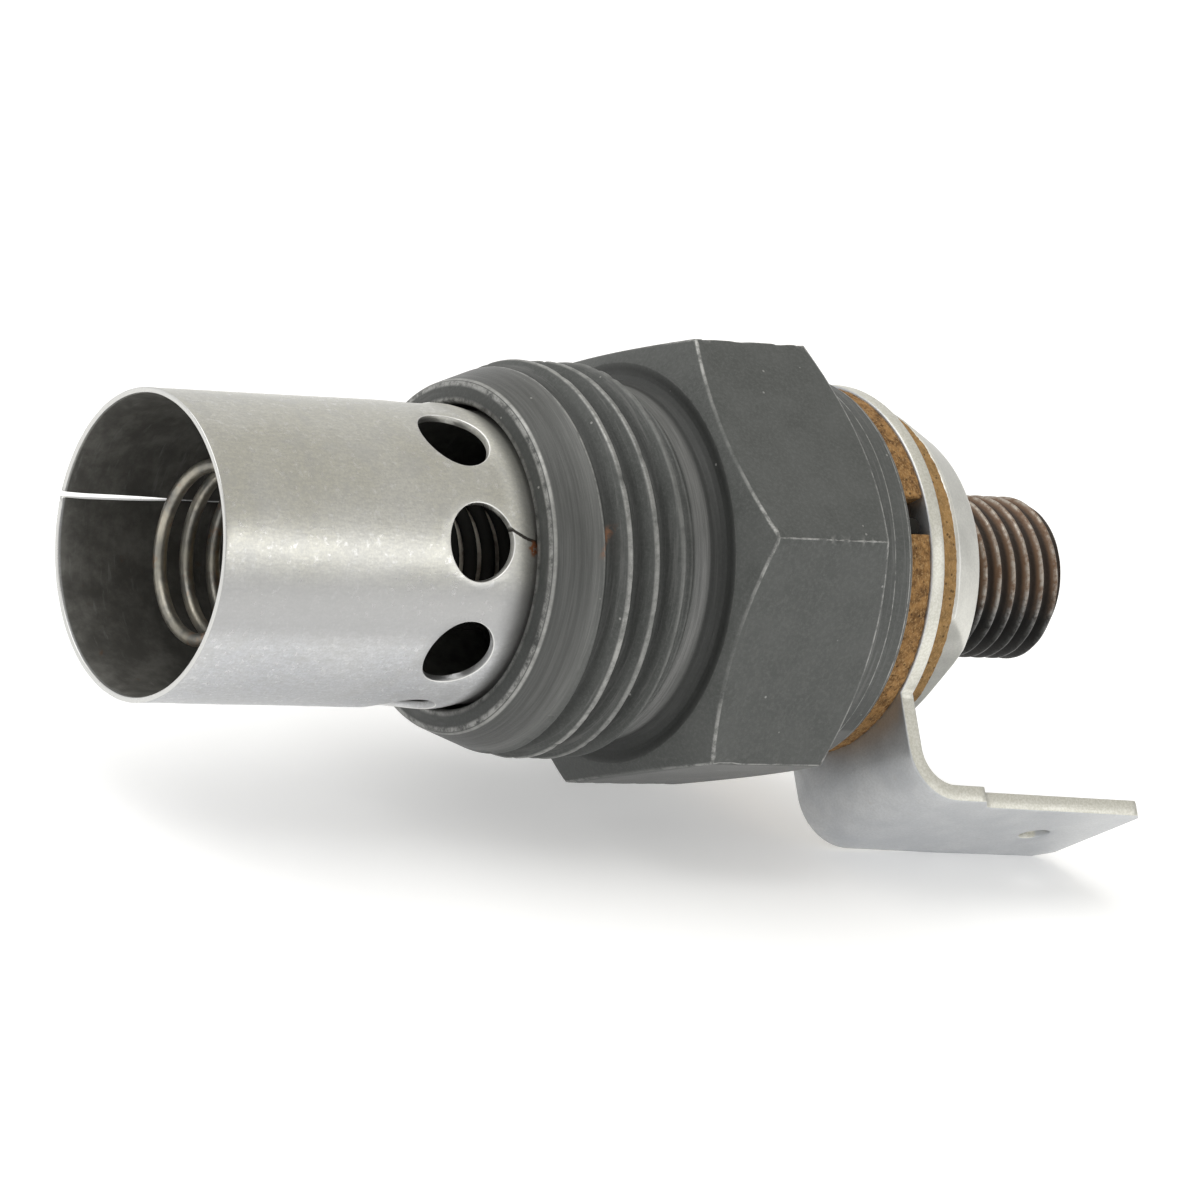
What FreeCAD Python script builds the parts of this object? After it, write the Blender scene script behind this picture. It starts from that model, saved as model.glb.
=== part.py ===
import FreeCAD, Part
import math
import os

# Cold-start intake heater plug of a diesel engine, in millimetres.
# The plug's axis is X: the open flame shield points to -X, the fuel inlet stub to +X, and +Z is up.
# The origin is on the axis, in the plane of the hexagon's front seating shoulder.
# Clock angles turn about X: 0 points to -Y and 90 points to +Z.

# ---- holder: threaded steel body with a hexagon ----
THREAD_R = 11.11           # 7/8 inch major diameter, halved
THREAD_PITCH = 1.814       # 14 threads per inch
THREAD_ROOT_R = 10.12
THREAD_START_X = -9.0      # the groove begins less than one pitch in front of this
THREAD_CREST_X = -6.99     # a crest passes here at THREAD_CREST_CLOCK
THREAD_CREST_CLOCK = 22.8
NOSE_X = -11.3             # front ring of the holder
NOSE_R = 9.82
NOSE_CHAMFER = 0.15
NOSE_RING_RISE = 0.2       # the ring's inner edge stands this far in front
LEAD_END_X = -7.4          # the lead cone reaches full thread here
RUNOUT_X = -3.3            # the full thread ends here
NECK_R = 10.05
NECK_X = -1.9
NECK_FILLET = 0.75
SHOULDER_R = 11.3          # flat seating face
HEX_AF = 23.81             # 15/16 inch across flats
HEX_BLANK_R = 13.8
HEX_CORNER_CLOCK = 30.0
HEX_FRONT_SLOPE = 0.49     # axial rise of the front bevel per millimetre of radius
HEX_REAR_SLOPE = 0.60
HEX_REAR_CORNER_X = 8.85
BOSS_R = 11.1
BOSS_LIP = 0.15
BOSS_LIP_FALL = 0.1
BOSS_FILLET = 0.35
BOSS_STEP_X = 11.35
BOSS_END_X = 12.8
COUNTERBORE_R = 8.45
COUNTERBORE_END_X = -4.1
CAVITY_R = 7.9
WEB_FRONT_X = 8.0
WEB_HOLE_R = 4.95

# ---- flame shield: rolled and perforated sheet tube ----
SHIELD_R = 8.45
SHIELD_WALL = 0.45
SHIELD_RIM_X = -31.6
SHIELD_END_X = -4.2
VENT_R = 2.1
VENT_X = -15.0
VENT_COUNT = 8
VENT_CLOCK = 28.6
SEAM_CLOCK = 184.4
SEAM_RIM_GAP = 0.5
SEAM_GAP = 0.1
SEAM_TAPER = 8.0

# ---- clamped stack behind the web ----
THICK_WASHER_R = 10.6
THICK_WASHER_T = 1.6
RING_R = 10.7
BLADE_T = 0.95
THIN_WASHER_R = 9.8
THIN_WASHER_T = 1.65
STACK_BORE_R = 6.2
BUSH_WALL = 1.3
STACK_CLEARANCE = 0.1
COLLAR_FRONT_R = 9.7
COLLAR_REAR_R = 8.52
COLLAR_T = 2.9
COLLAR_FRONT_CHAMFER = (0.25, 0.15)    # along the axis and in radius
COLLAR_REAR_CHAMFER = (0.25, 0.32)
COLLAR_FLAT = 7.9          # wrench flats, from the axis
COLLAR_FLAT_CLOCK = -27.0

# ---- terminal blade ----
BLADE_CLOCK = -49.1
LEG_HALF_W = 5.8           # from the centre line to the side with the shoulder
TONGUE_W = 9.5             # the other side runs straight from the leg to the tip
TONGUE_R = 15.25           # outer face of the tongue, from the axis
TONGUE_END_X = 32.0
TONGUE_SHOULDER_X = 19.4
SHOULDER_RAMP = 0.9
BEND_INNER_R = 2.1
TAB_HOLE_R = 0.9
TAB_HOLE_X = 27.6
NEAR_CORNER = 0.5          # cut off the tip on the shouldered side
FAR_CORNER = 1.3

# ---- fuel adaptor: through piece with the inlet thread ----
STUB_R = 4.76              # 3/8 inch major diameter, halved
STUB_PITCH = 1.058         # 24 threads per inch
STUB_ROOT_R = 4.18
STUB_CREST_X = 26.59       # a crest passes here at STUB_CREST_CLOCK
STUB_CREST_CLOCK = 14.8
STUB_END_X = 29.4
STUB_CHAMFER = 0.45
ADAPTOR_HEAD_R = 5.9
ADAPTOR_HEAD_X = 4.9
ADAPTOR_HEAD_CHAMFER = 0.3
GASKET_T = 0.6
SOCKET_R = 2.9
SOCKET_END_X = 12.4
CHAMBER_R = 1.75
SEAT_START_X = 13.6
THROAT_R = 1.0
FUEL_BORE_X = 15.4
FUEL_BORE_R = 1.6
FUEL_MOUTH_CHAMFER = 0.6

# ---- valve body tube, needle and ball ----
TUBE_R = 2.6
TUBE_CHAMFER = 0.25
TUBE_BORE_R = 1.3
TUBE_NOSE_X = -21.0
TUBE_END_X = 11.8
TUBE_THREAD_X = 5.2
BALL_POCKET_X = 10.9
PLUG_R = 1.9
PLUG_T = 2.0
PLUG_SLOT = 0.5            # screwdriver slot's width and depth
PLUG_POCKET = 0.3          # room behind the plug
VAPOUR_HOLE_R = 0.4
VAPOUR_HOLE_X = -17.2
BALL_R = 1.5875            # 1/8 inch ball
SEAT_GAP = 0.02
TIP_GAP = 0.01
NEEDLE_R = 0.95
NEEDLE_RECESS = 0.6        # behind the plug's front face
NEEDLE_LAND_R = 1.24
NEEDLE_LAND_X = 6.0
NEEDLE_LAND_LEN = 3.0
LAND_FLAT = 1.0
RUNNING_CLEARANCE = 0.03
FIT_CLEARANCE = 0.05

# ---- heater and igniter wire, sleeve and lead ----
WIRE_R = 0.38
HEATER_R = 3.66            # wire centre line on the sleeve
HEATER_PITCH = 1.2
HEATER_TURNS = 17
FLARE_TURNS = 1.0
IGNITER_R = 4.75
IGNITER_PITCH = 1.72
IGNITER_FRONT_X = -28.0
IGNITER_FRONT_CLOCK = 30.0
IGNITER_TURNS = 4.0
POINTS_PER_TURN = 12
SLEEVE_WALL = 0.55
SLEEVE_FRONT_X = -19.0
SLEEVE_REAR_X = 4.2
SLEEVE_STEP = 0.4          # the step for the vapour holes starts this far behind them
LEAD_R = 0.45
LEAD_PITCH_R = 7.0
LEAD_CLOCK = 38.2
LEAD_HOLE_R = 0.85
LEAD_END_R = 10.2
LEAD_BEND_R = 0.9
LEAD_CLEARANCE = 0.03
LEAD_SLEEVE_FRONT = 1.0    # the sleeve stands this far out of the web
SLOT_HALF_W = 1.1
SLOT_CLOCK = 41.0
SLOT_DEPTH_R = 6.0         # the slot opens into the washer's bore

OVERCUT = 1.0              # how far cutting solids run past the surfaces they cut

THICK_X = BOSS_END_X
BLADE_X = THICK_X + THICK_WASHER_T
THIN_X = BLADE_X + BLADE_T
COLLAR_X = THIN_X + THIN_WASHER_T
COLLAR_END_X = COLLAR_X + COLLAR_T
AXIS = FreeCAD.Vector(1, 0, 0)
ORIGIN = FreeCAD.Vector(0, 0, 0)


def vec(x, y, z):
    return FreeCAD.Vector(x, y, z)


def clock_point(x, radius, clock):
    a = math.radians(clock)
    return vec(x, -radius * math.cos(a), radius * math.sin(a))


def clock_dir(clock):
    return clock_point(0, 1, clock)


def rod(x0, x1, radius):
    return Part.makeCylinder(radius, x1 - x0, vec(x0, 0, 0), AXIS)


def pipe(x0, x1, inner, outer):
    return rod(x0, x1, outer).cut(rod(x0 - 1, x1 + 1, inner))


def turned(outline):
    """Solid of revolution about X from (x, radius) corners."""
    points = [vec(x, 0, r) for x, r in outline]
    face = Part.Face(Part.makePolygon(points + [points[0]]))
    return face.revolve(ORIGIN, AXIS, 360)


def round_edges(shape, radius, x, edge_r):
    """Rounds the circular edges of one radius in one plane across the axis."""
    chosen = []
    for edge in shape.Edges:
        curve = edge.Curve
        if not isinstance(curve, Part.Circle):
            continue
        if abs(curve.Center.x - x) < 0.01 and abs(curve.Radius - edge_r) < 0.01:
            chosen.append(edge)
    return shape.makeFillet(radius, chosen)


def thread_groove(major, root, pitch, crest_x, crest_clock, x0, x1):
    """Right-hand 60 degree groove, swept along a helix from about x0 to x1."""
    crest_at_start = crest_x + pitch * (crest_clock + 90) / 360.0
    first = crest_at_start - pitch / 2
    start = first - pitch * math.ceil((first - x0) / pitch)
    helix = Part.makeLongHelix(pitch, x1 - start, root)
    helix.rotate(ORIGIN, vec(0, 1, 0), 90)
    helix.translate(vec(start, 0, 0))
    flank = math.tan(math.radians(30))
    half_root = pitch / 8
    over = 0.9 * ((pitch / 2 - half_root) / flank - (major - root))
    half_top = half_root + (major + over - root) * flank
    corners = [(-half_root, root), (half_root, root), (half_top, major + over), (-half_top, major + over)]
    points = [vec(start + dx, 0, -r) for dx, r in corners]
    profile = Part.makePolygon(points + [points[0]])
    return Part.Wire(helix.Edges).makePipeShell([profile], True, True)


def hex_prism(across_flats, x0, x1, clock):
    corner = across_flats / math.sqrt(3)
    points = [clock_point(x0, corner, clock + 60 * k) for k in range(6)]
    face = Part.Face(Part.makePolygon(points + [points[0]]))
    return face.extrude(vec(x1 - x0, 0, 0))


def holder():
    """Threaded body: lead cone, thread, neck, bevelled hexagon and rear boss."""
    front_rise = (HEX_BLANK_R - SHOULDER_R) * HEX_FRONT_SLOPE
    rear_rise = (HEX_BLANK_R - BOSS_R) * HEX_REAR_SLOPE
    outline = [
        (NOSE_X - NOSE_RING_RISE, COUNTERBORE_R + NOSE_CHAMFER),
        (NOSE_X, NOSE_R - NOSE_CHAMFER),
        (NOSE_X + NOSE_CHAMFER, NOSE_R),
        (LEAD_END_X, THREAD_R),
        (RUNOUT_X, THREAD_R),
        (NECK_X, NECK_R),
        (0, NECK_R),
        (0, SHOULDER_R),
        (front_rise, HEX_BLANK_R),
        (HEX_REAR_CORNER_X, HEX_BLANK_R),
        (HEX_REAR_CORNER_X + rear_rise, BOSS_R + BOSS_LIP),
        (BOSS_STEP_X, BOSS_R + BOSS_LIP),
        (BOSS_STEP_X + BOSS_LIP_FALL, BOSS_R),
        (BOSS_END_X, BOSS_R),
        (BOSS_END_X, WEB_HOLE_R),
        (WEB_FRONT_X, WEB_HOLE_R),
        (WEB_FRONT_X, CAVITY_R),
        (COUNTERBORE_END_X, CAVITY_R),
        (COUNTERBORE_END_X, COUNTERBORE_R),
        (NOSE_X, COUNTERBORE_R),
    ]
    body = turned(outline)
    body = round_edges(body, NECK_FILLET, 0, NECK_R)
    body = round_edges(body, BOSS_FILLET, BOSS_END_X, BOSS_R)
    body = body.common(hex_prism(HEX_AF, NOSE_X - OVERCUT, BOSS_END_X + OVERCUT, HEX_CORNER_CLOCK))
    groove = thread_groove(THREAD_R, THREAD_ROOT_R, THREAD_PITCH, THREAD_CREST_X, THREAD_CREST_CLOCK,
                           THREAD_START_X, NECK_X + 0.2)
    body = body.cut(groove)
    lead_hole = Part.makeCylinder(LEAD_HOLE_R, BOSS_END_X - WEB_FRONT_X + 2 * OVERCUT,
                                  clock_point(WEB_FRONT_X - OVERCUT, LEAD_PITCH_R, LEAD_CLOCK), AXIS)
    return body.cut(lead_hole)


def seam_cut():
    """Wedge that opens the rolled seam at the rim and leaves a hairline behind it."""
    outer = SHIELD_R + OVERCUT
    inner = SHIELD_R - SHIELD_WALL - OVERCUT
    x_taper = SHIELD_RIM_X + SEAM_TAPER
    corners = [
        (SHIELD_RIM_X - OVERCUT, SEAM_RIM_GAP / 2),
        (x_taper, SEAM_GAP / 2),
        (SHIELD_END_X + OVERCUT, SEAM_GAP / 2),
        (SHIELD_END_X + OVERCUT, -SEAM_GAP / 2),
        (x_taper, -SEAM_GAP / 2),
        (SHIELD_RIM_X - OVERCUT, -SEAM_RIM_GAP / 2),
    ]
    points = [vec(x, -inner, z) for x, z in corners]
    face = Part.Face(Part.makePolygon(points + [points[0]]))
    wedge = face.extrude(vec(0, inner - outer, 0))
    wedge.rotate(ORIGIN, AXIS, -SEAM_CLOCK)
    return wedge


def flame_shield():
    """Open perforated tube, pressed into the holder's counterbore."""
    tube = pipe(SHIELD_RIM_X, SHIELD_END_X, SHIELD_R - SHIELD_WALL, SHIELD_R)
    for k in range(VENT_COUNT):
        clock = VENT_CLOCK + 360.0 * k / VENT_COUNT
        start = clock_point(VENT_X, SHIELD_R - 2 * OVERCUT, clock)
        tube = tube.cut(Part.makeCylinder(VENT_R, 4 * OVERCUT, start, clock_dir(clock)))
    return tube.cut(seam_cut())


def thick_fibre_washer():
    """Insulates the terminal from the holder; a radial slot takes the bent lead."""
    washer = pipe(THICK_X, BLADE_X, STACK_BORE_R, THICK_WASHER_R)
    slot = Part.makeBox(THICK_WASHER_T + 2 * OVERCUT, THICK_WASHER_R, 2 * SLOT_HALF_W,
                        vec(THICK_X - OVERCUT, -THICK_WASHER_R - SLOT_DEPTH_R, -SLOT_HALF_W))
    slot.rotate(ORIGIN, AXIS, -SLOT_CLOCK)
    return washer.cut(slot)


def thin_fibre_washer():
    return pipe(THIN_X, COLLAR_X, STACK_BORE_R, THIN_WASHER_R)


def terminal_bush():
    """Insulating tube that centres the washers and the terminal ring on the adaptor."""
    inner = STUB_R + STACK_CLEARANCE
    return pipe(THICK_X + STACK_CLEARANCE, COLLAR_X - STACK_CLEARANCE, inner, inner + BUSH_WALL)


def terminal_blade():
    """Ring with a flat leg, a right-angle bend to the rear and a tongue for the plug-on connector."""
    ring = rod(BLADE_X, THIN_X, RING_R)
    outer_r = BEND_INNER_R + BLADE_T
    side = [
        (BLADE_X, 0),
        (BLADE_X, TONGUE_R - outer_r),
        (BLADE_X + outer_r, TONGUE_R),
        (TONGUE_END_X, TONGUE_R),
        (TONGUE_END_X, TONGUE_R - BLADE_T),
        (THIN_X + BEND_INNER_R, TONGUE_R - BLADE_T),
        (THIN_X, TONGUE_R - outer_r),
        (THIN_X, 0),
    ]
    corner = [vec(x, -r, 0) for x, r in side]
    cos45 = math.cos(math.radians(45))
    bend_x = BLADE_X + outer_r
    bend_r = TONGUE_R - outer_r
    outer_mid = vec(bend_x - outer_r * cos45, -(bend_r + outer_r * cos45), 0)
    inner_mid = vec(bend_x - BEND_INNER_R * cos45, -(bend_r + BEND_INNER_R * cos45), 0)
    edges = [
        Part.makeLine(corner[0], corner[1]),
        Part.Arc(corner[1], outer_mid, corner[2]).toShape(),
        Part.makeLine(corner[2], corner[3]),
        Part.makeLine(corner[3], corner[4]),
        Part.makeLine(corner[4], corner[5]),
        Part.Arc(corner[5], inner_mid, corner[6]).toShape(),
        Part.makeLine(corner[6], corner[7]),
        Part.makeLine(corner[7], corner[0]),
    ]
    half_tongue = TONGUE_W / 2
    strip = Part.Face(Part.Wire(edges)).extrude(vec(0, 0, LEG_HALF_W + half_tongue))
    strip.translate(vec(0, 0, -half_tongue))
    blade = ring.fuse(strip).removeSplitter()
    shoulder = [
        (TONGUE_SHOULDER_X, LEG_HALF_W),
        (TONGUE_SHOULDER_X + SHOULDER_RAMP, half_tongue),
        (TONGUE_END_X - NEAR_CORNER, half_tongue),
        (TONGUE_END_X, half_tongue - NEAR_CORNER),
        (TONGUE_END_X + OVERCUT, half_tongue - NEAR_CORNER),
        (TONGUE_END_X + OVERCUT, LEG_HALF_W + OVERCUT),
        (TONGUE_SHOULDER_X, LEG_HALF_W + OVERCUT),
    ]
    far_tip = [
        (TONGUE_END_X - FAR_CORNER - OVERCUT, -half_tongue - OVERCUT),
        (TONGUE_END_X + OVERCUT, -half_tongue + FAR_CORNER + OVERCUT),
        (TONGUE_END_X + OVERCUT, -half_tongue - OVERCUT),
    ]
    for waste in (shoulder, far_tip):
        points = [vec(x, -TONGUE_R - OVERCUT, z) for x, z in waste]
        cutter = Part.Face(Part.makePolygon(points + [points[0]])).extrude(vec(0, BLADE_T + 2 * OVERCUT, 0))
        blade = blade.cut(cutter)
    hole = Part.makeCylinder(TAB_HOLE_R, BLADE_T + 2 * OVERCUT, vec(TAB_HOLE_X, -TONGUE_R - OVERCUT, 0),
                             vec(0, 1, 0))
    blade = blade.cut(hole).cut(rod(BLADE_X - OVERCUT, THIN_X + OVERCUT, STACK_BORE_R))
    blade.rotate(ORIGIN, AXIS, -BLADE_CLOCK)
    return blade


def clamp_collar():
    """Tapered nut with two wrench flats that clamps the washers and the terminal."""
    front_x, front_r = COLLAR_FRONT_CHAMFER
    rear_x, rear_r = COLLAR_REAR_CHAMFER
    outline = [
        (COLLAR_X, STUB_R),
        (COLLAR_X, COLLAR_FRONT_R - front_r),
        (COLLAR_X + front_x, COLLAR_FRONT_R),
        (COLLAR_END_X - rear_x, COLLAR_REAR_R),
        (COLLAR_END_X, COLLAR_REAR_R - rear_r),
        (COLLAR_END_X, STUB_R),
    ]
    collar = turned(outline)
    for clock in (COLLAR_FLAT_CLOCK, COLLAR_FLAT_CLOCK + 180):
        waste = Part.makeBox(COLLAR_T + 2 * OVERCUT, COLLAR_FRONT_R, 2 * COLLAR_FRONT_R,
                             vec(COLLAR_X - OVERCUT, -COLLAR_FLAT - COLLAR_FRONT_R, -COLLAR_FRONT_R))
        waste.rotate(ORIGIN, AXIS, -clock)
        collar = collar.cut(waste)
    return collar


def fuel_adaptor():
    """Headed through piece: tube socket, ball chamber, seat, fuel bore and inlet thread."""
    head_end = WEB_FRONT_X - GASKET_T
    outline = [
        (ADAPTOR_HEAD_X, SOCKET_R),
        (ADAPTOR_HEAD_X, ADAPTOR_HEAD_R - ADAPTOR_HEAD_CHAMFER),
        (ADAPTOR_HEAD_X + ADAPTOR_HEAD_CHAMFER, ADAPTOR_HEAD_R),
        (head_end, ADAPTOR_HEAD_R),
        (head_end, STUB_R),
        (STUB_END_X - STUB_CHAMFER, STUB_R),
        (STUB_END_X, STUB_R - STUB_CHAMFER),
        (STUB_END_X, FUEL_BORE_R + FUEL_MOUTH_CHAMFER),
        (STUB_END_X - FUEL_MOUTH_CHAMFER, FUEL_BORE_R),
        (FUEL_BORE_X, FUEL_BORE_R),
        (FUEL_BORE_X, THROAT_R),
        (SEAT_START_X + CHAMBER_R - THROAT_R, THROAT_R),
        (SEAT_START_X, CHAMBER_R),
        (SOCKET_END_X, CHAMBER_R),
        (SOCKET_END_X, SOCKET_R),
    ]
    adaptor = turned(outline)
    groove = thread_groove(STUB_R, STUB_ROOT_R, STUB_PITCH, STUB_CREST_X, STUB_CREST_CLOCK,
                           COLLAR_END_X - STUB_PITCH, STUB_END_X + STUB_PITCH)
    return adaptor.cut(groove)


def adaptor_gasket():
    """Soft sealing ring between the adaptor's head and the holder's web."""
    return pipe(WEB_FRONT_X - GASKET_T, WEB_FRONT_X, STUB_R + STACK_CLEARANCE,
                ADAPTOR_HEAD_R - STACK_CLEARANCE)


def tube_gasket():
    """Soft sealing ring under the end of the valve body tube."""
    return pipe(TUBE_END_X, SOCKET_END_X, CHAMBER_R + FIT_CLEARANCE, SOCKET_R - FIT_CLEARANCE)


def valve_body():
    """Brass tube that lengthens when heated; vapour leaves by cross holes near its nose."""
    outline = [
        (TUBE_NOSE_X, PLUG_R),
        (TUBE_NOSE_X, TUBE_R - TUBE_CHAMFER),
        (TUBE_NOSE_X + TUBE_CHAMFER, TUBE_R),
        (TUBE_THREAD_X, TUBE_R),
        (TUBE_THREAD_X, SOCKET_R),
        (TUBE_END_X, SOCKET_R),
        (TUBE_END_X, CHAMBER_R),
        (BALL_POCKET_X, CHAMBER_R),
        (BALL_POCKET_X, TUBE_BORE_R),
        (TUBE_NOSE_X + PLUG_T + PLUG_POCKET, TUBE_BORE_R),
        (TUBE_NOSE_X + PLUG_T + PLUG_POCKET, PLUG_R),
    ]
    tube = turned(outline)
    for clock in (0, 90):
        start = clock_point(VAPOUR_HOLE_X, TUBE_R + OVERCUT, clock)
        across = 2 * (TUBE_R + OVERCUT)
        tube = tube.cut(Part.makeCylinder(VAPOUR_HOLE_R, across, start, clock_dir(clock + 180)))
    return tube


def valve_end_plug():
    """Plug in the hot end of the tube that carries the needle."""
    plug = pipe(TUBE_NOSE_X, TUBE_NOSE_X + PLUG_T, NEEDLE_R, PLUG_R - RUNNING_CLEARANCE)
    slot = Part.makeBox(OVERCUT + PLUG_SLOT, 2 * PLUG_R, PLUG_SLOT,
                        vec(TUBE_NOSE_X - OVERCUT, -PLUG_R, -PLUG_SLOT / 2))
    return plug.cut(slot)


def valve_needle():
    """Thin stem that holds the ball on its seat; flats on its guide land let the fuel past."""
    tip_x = ball_centre() - BALL_R - TIP_GAP
    stem = rod(TUBE_NOSE_X + NEEDLE_RECESS, tip_x, NEEDLE_R)
    land = rod(NEEDLE_LAND_X, NEEDLE_LAND_X + NEEDLE_LAND_LEN, NEEDLE_LAND_R)
    for k in range(3):
        waste = Part.makeBox(NEEDLE_LAND_LEN + 2 * OVERCUT, OVERCUT, 2 * NEEDLE_LAND_R,
                             vec(NEEDLE_LAND_X - OVERCUT, -LAND_FLAT - OVERCUT, -NEEDLE_LAND_R))
        waste.rotate(ORIGIN, AXIS, 120 * k)
        land = land.cut(waste)
    return stem.fuse(land).removeSplitter()


def ball_centre():
    """Axial place of the ball: just clear of its 45 degree seat."""
    cos45 = math.cos(math.radians(45))
    contact_r = BALL_R * cos45
    contact_x = SEAT_START_X + CHAMBER_R - contact_r
    return contact_x - BALL_R * cos45 - SEAT_GAP


def valve_ball():
    return Part.makeSphere(BALL_R, vec(ball_centre(), 0, 0))


def coil_sleeve():
    """Heat-proof insulating tube between the valve body and the heater wire."""
    inner = TUBE_R + FIT_CLEARANCE
    sleeve = pipe(SLEEVE_FRONT_X, SLEEVE_REAR_X, inner, inner + SLEEVE_WALL)
    step_x = VAPOUR_HOLE_X + VAPOUR_HOLE_R + SLEEVE_STEP
    return sleeve.cut(rod(SLEEVE_FRONT_X - OVERCUT, step_x, inner + SLEEVE_WALL + OVERCUT))


def wire_radius(turn):
    """Distance of the wire's centre line from the axis, counted in turns from the cold end."""
    if turn <= HEATER_TURNS:
        return HEATER_R
    share = min((turn - HEATER_TURNS) / FLARE_TURNS, 1.0)
    blend = share * share * (3 - 2 * share)
    return HEATER_R + (IGNITER_R - HEATER_R) * blend


def wire_points():
    """Centre line of the wire: heater winding, flare and open igniter spiral."""
    total = HEATER_TURNS + FLARE_TURNS + IGNITER_TURNS
    count = int(total * POINTS_PER_TURN)
    points = []
    x = 0.0
    for k in range(count + 1):
        turn = k / POINTS_PER_TURN
        share = min(max((turn - HEATER_TURNS) / FLARE_TURNS, 0.0), 1.0)
        pitch = HEATER_PITCH + (IGNITER_PITCH - HEATER_PITCH) * share
        clock = IGNITER_FRONT_CLOCK + 360.0 * (turn - total)
        points.append((x, wire_radius(turn), clock))
        x -= pitch / POINTS_PER_TURN
    shift = IGNITER_FRONT_X - points[-1][0]
    return [clock_point(px + shift, r, clock) for px, r, clock in points]


def heater_coil():
    """One resistance wire: heater winding on the sleeve, then the open igniter coil."""
    points = wire_points()
    curve = Part.BSplineCurve()
    curve.interpolate(points)
    spine = Part.Wire([curve.toShape()])
    tangent = curve.tangent(curve.FirstParameter)[0]
    section = Part.Wire([Part.makeCircle(WIRE_R, points[0], tangent)])
    return spine.makePipeShell([section], True, True)


def terminal_lead():
    """Stiff lead: along the web's side hole, then outward in the thick washer's slot."""
    bend = LEAD_BEND_R
    cos45 = math.cos(math.radians(45))
    mid_x = THICK_X + THICK_WASHER_T / 2
    start = vec(SLEEVE_REAR_X, -LEAD_PITCH_R, 0)
    knee = vec(mid_x - bend, -LEAD_PITCH_R, 0)
    centre = vec(mid_x - bend, -LEAD_PITCH_R - bend, 0)
    middle = centre + vec(bend * cos45, bend * cos45, 0)
    turn_end = vec(mid_x, -LEAD_PITCH_R - bend, 0)
    tip = vec(mid_x, -LEAD_END_R, 0)
    spine = Part.Wire([
        Part.makeLine(start, knee),
        Part.Arc(knee, middle, turn_end).toShape(),
        Part.makeLine(turn_end, tip),
    ])
    section = Part.Wire([Part.makeCircle(LEAD_R, start, AXIS)])
    lead = spine.makePipeShell([section], True, True)
    lead.rotate(ORIGIN, AXIS, -LEAD_CLOCK)
    return lead


def lead_sleeve():
    """Insulating tube around the lead in the holder's web."""
    front_x = WEB_FRONT_X - LEAD_SLEEVE_FRONT
    length = BOSS_END_X - STACK_CLEARANCE - front_x
    base = clock_point(front_x, LEAD_PITCH_R, LEAD_CLOCK)
    outer = Part.makeCylinder(LEAD_HOLE_R - LEAD_CLEARANCE, length, base, AXIS)
    return outer.cut(Part.makeCylinder(LEAD_R + LEAD_CLEARANCE, length, base, AXIS))


NODES = {
    "holder": holder,
    "flame_shield": flame_shield,
    "thick_fibre_washer": thick_fibre_washer,
    "thin_fibre_washer": thin_fibre_washer,
    "terminal_bush": terminal_bush,
    "terminal_blade": terminal_blade,
    "clamp_collar": clamp_collar,
    "fuel_adaptor": fuel_adaptor,
    "adaptor_gasket": adaptor_gasket,
    "tube_gasket": tube_gasket,
    "valve_body": valve_body,
    "valve_end_plug": valve_end_plug,
    "valve_needle": valve_needle,
    "valve_ball": valve_ball,
    "coil_sleeve": coil_sleeve,
    "heater_coil": heater_coil,
    "terminal_lead": terminal_lead,
    "lead_sleeve": lead_sleeve,
}

os.makedirs("parts", exist_ok=True)
for node, build in NODES.items():
    shape = build()
    if not shape.isValid() or len(shape.Solids) != 1:
        print("check", node, "valid", shape.isValid(), "solids", len(shape.Solids))
    shape.exportStep(os.path.join("parts", node + ".step"))
    print(node, round(shape.Volume, 1))
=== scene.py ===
import math

import bpy
import numpy as np
from mathutils import Matrix, Vector, geometry, noise


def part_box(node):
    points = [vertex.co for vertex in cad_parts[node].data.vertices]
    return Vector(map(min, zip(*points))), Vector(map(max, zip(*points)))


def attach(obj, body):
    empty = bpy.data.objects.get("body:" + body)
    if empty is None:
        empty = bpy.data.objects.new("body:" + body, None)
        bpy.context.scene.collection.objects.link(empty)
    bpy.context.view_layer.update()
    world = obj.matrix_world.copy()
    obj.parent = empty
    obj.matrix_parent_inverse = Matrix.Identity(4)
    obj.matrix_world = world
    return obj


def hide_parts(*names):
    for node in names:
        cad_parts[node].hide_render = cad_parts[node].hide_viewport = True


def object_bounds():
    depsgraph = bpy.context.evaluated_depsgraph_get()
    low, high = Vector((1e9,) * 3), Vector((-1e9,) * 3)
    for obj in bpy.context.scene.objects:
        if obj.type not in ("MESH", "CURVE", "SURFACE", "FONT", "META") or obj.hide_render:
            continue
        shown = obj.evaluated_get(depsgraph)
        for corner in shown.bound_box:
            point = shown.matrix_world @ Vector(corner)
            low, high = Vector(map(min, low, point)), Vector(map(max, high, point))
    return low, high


# Looks for a diesel cold-start heater plug. Shapes are worked out in millimetres, as in the CAD model:
# the axis is X, the open flame shield points to -X, and a clock angle of 0 is -Y and 90 is +Z.
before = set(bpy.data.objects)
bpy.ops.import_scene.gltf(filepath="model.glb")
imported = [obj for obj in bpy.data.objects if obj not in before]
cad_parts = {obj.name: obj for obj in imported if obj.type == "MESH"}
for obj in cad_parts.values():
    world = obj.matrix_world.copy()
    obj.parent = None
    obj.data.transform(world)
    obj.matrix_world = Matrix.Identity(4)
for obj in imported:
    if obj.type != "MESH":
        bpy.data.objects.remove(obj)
CAD_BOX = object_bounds()
MM = 0.001

# ---------------------------------------------------------------- sizes from the frame


def node_mm(node):
    """Lowest and highest corner of a CAD node, in millimetres."""
    low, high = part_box(node)
    return low / MM, high / MM


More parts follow.
